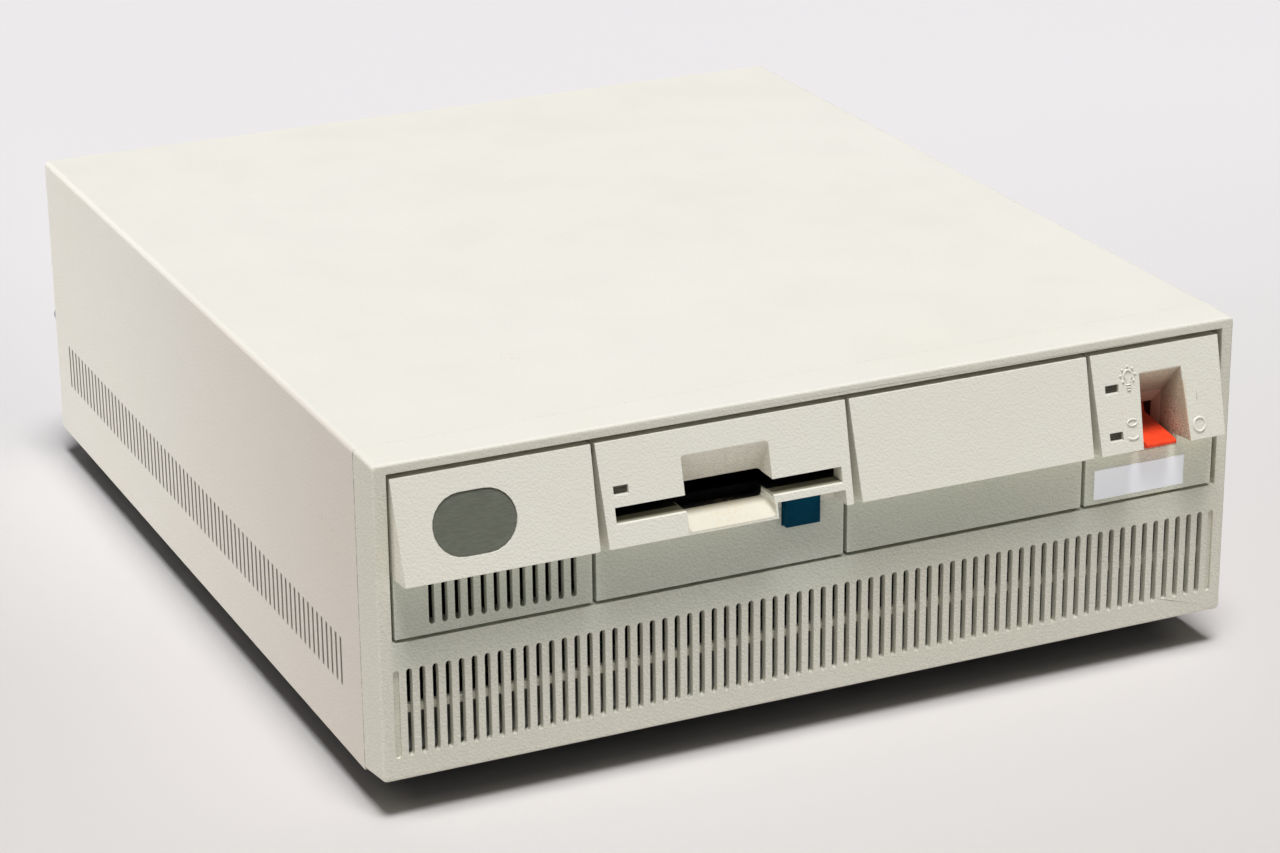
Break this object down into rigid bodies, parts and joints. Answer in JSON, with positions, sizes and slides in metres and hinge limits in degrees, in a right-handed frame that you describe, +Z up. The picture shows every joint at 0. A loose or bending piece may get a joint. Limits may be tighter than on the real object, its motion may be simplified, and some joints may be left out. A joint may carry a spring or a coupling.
{
  "type": "vintage home computer",
  "caption": "Desktop home computer with a vented cover over a grilled front, side-by-side front units with a diskette drive, and a power paddle in a funnel",
  "frame": {"origin": "on the table under the middle of the bounding box, between the feet", "axes": "+X to the right seen from the front, +Y from the front to the rear panel, +Z up from the table"},
  "size_m": [0.36, 0.425, 0.14],
  "materials": {
    "cover": "cream moulded plastic with a fine textured surface",
    "frame": "cream moulded plastic with a coarser textured surface",
    "bezel": "cream moulded plastic with a fine textured surface",
    "badge": "dark grey plate, left bare",
    "lamp": "dark smoky green lamp window",
    "label": "pale bluish white film, left bare",
    "tray": "dark grey moulded plastic",
    "red": "red-orange moulded plastic",
    "black": "black moulded plastic",
    "sheet": "plated steel sheet",
    "blue": "deep teal-blue moulded plastic",
    "casting": "cast and machined aluminium housing",
    "board": "green circuit board",
    "chip": "black moulded package",
    "pan": "grey coated steel sheet",
    "rubber": "black rubber",
    "cell": "metal cell can",
    "brass": "plated brass"
  },
  "bodies": {
    "base": {"fan_bezel": "bezel", "badge_plate": "badge", "diskette_bezel": "bezel", "diskette_lamp": "lamp", "blank_bezel": "bezel", "switch_bezel": "bezel", "power_lamp": "lamp", "disk_lamp": "lamp", "unit_label": "label", "switch_housing": "tray", "drive_faceplate": "black", "drive_case": "sheet", "drive_support": "tray", "fixed_disk": "casting", "drive_riser": "board", "base_pan": "pan", "rear_panel": "pan", "foot_1": "rubber", "foot_2": "rubber", "foot_3": "rubber", "foot_4": "rubber", "system_board": "board", "processor": "chip", "memory_module_1": "board", "memory_module_2": "board", "expansion_connector_1": "chip", "expansion_connector_2": "chip", "expansion_connector_3": "chip", "expansion_connector_4": "chip", "slot_cover_1": "sheet", "slot_cover_2": "sheet", "slot_cover_3": "sheet", "disk_adapter_card": "board", "video_port": "sheet", "keyboard_port": "chip", "pointer_port": "chip", "parallel_port": "sheet", "serial_port": "sheet", "fan_housing": "tray", "speaker": "black", "battery": "cell", "supply_case": "sheet", "supply_lid": "sheet", "power_inlet": "chip", "supply_fan_frame": "black", "supply_board": "board", "keylock_sleeve": "sheet"},
    "cover": {"top_cover": "cover", "front_frame": "frame"},
    "paddle": {"power_paddle": "red"},
    "eject": {"eject_button": "blue"},
    "flap": {"diskette_flap": "black"},
    "spindle": {"diskette_spindle": "sheet"},
    "carriage": {"head_carriage": "tray"},
    "fan": {"fan_rotor": "black"},
    "supply_fan": {"supply_fan_rotor": "black"},
    "keylock": {"keylock_barrel": "brass"},
    "screw_left": {"cover_screw_left": "sheet"},
    "screw_right": {"cover_screw_right": "sheet"}
  },
  "joints": [
    {"name": "cover_slide", "type": "slide", "parent": "base", "child": "cover", "axis": [0, -1, 0], "range_m": [0, 0.43]},
    {"name": "power_switch", "type": "hinge", "parent": "base", "child": "paddle", "pos_m": [0.1448, -0.17225, 0.097], "axis": [-1, 0, 0], "range_deg": [0, 20]},
    {"name": "eject_press", "type": "slide", "parent": "base", "child": "eject", "axis": [0, 1, 0], "range_m": [0, 0.004], "stiffness_N_per_m": 300, "springref_m": -0.002},
    {"name": "flap_swing", "type": "hinge", "parent": "base", "child": "flap", "pos_m": [-0.0427, -0.19075, 0.1112], "axis": [1, 0, 0], "range_deg": [0, 80], "stiffness_Nm_per_rad": 0.0006, "springref_deg": -17.19},
    {"name": "spindle_spin", "type": "hinge", "parent": "base", "child": "spindle", "pos_m": [-0.04285, -0.14625, 0.094], "axis": [0, 0, 1], "continuous": true},
    {"name": "head_travel", "type": "slide", "parent": "base", "child": "carriage", "axis": [0, 1, 0], "range_m": [0, 0.028]},
    {"name": "fan_spin", "type": "hinge", "parent": "base", "child": "fan", "pos_m": [-0.12745, -0.14225, 0.1026], "axis": [0, 1, 0], "continuous": true},
    {"name": "supply_fan_spin", "type": "hinge", "parent": "base", "child": "supply_fan", "pos_m": [0.1436, 0.19275, 0.052], "axis": [0, 1, 0], "continuous": true},
    {"name": "keylock_turn", "type": "hinge", "parent": "base", "child": "keylock", "pos_m": [0.086, 0.20875, 0.112], "axis": [0, 1, 0], "range_deg": [0, 90]},
    {"name": "screw_left_turn", "type": "hinge", "parent": "base", "child": "screw_left", "pos_m": [-0.1762, 0.20875, 0.066], "axis": [0, 1, 0], "continuous": true},
    {"name": "screw_right_turn", "type": "hinge", "parent": "base", "child": "screw_right", "pos_m": [0.1762, 0.20875, 0.066], "axis": [0, 1, 0], "continuous": true}
  ]
}
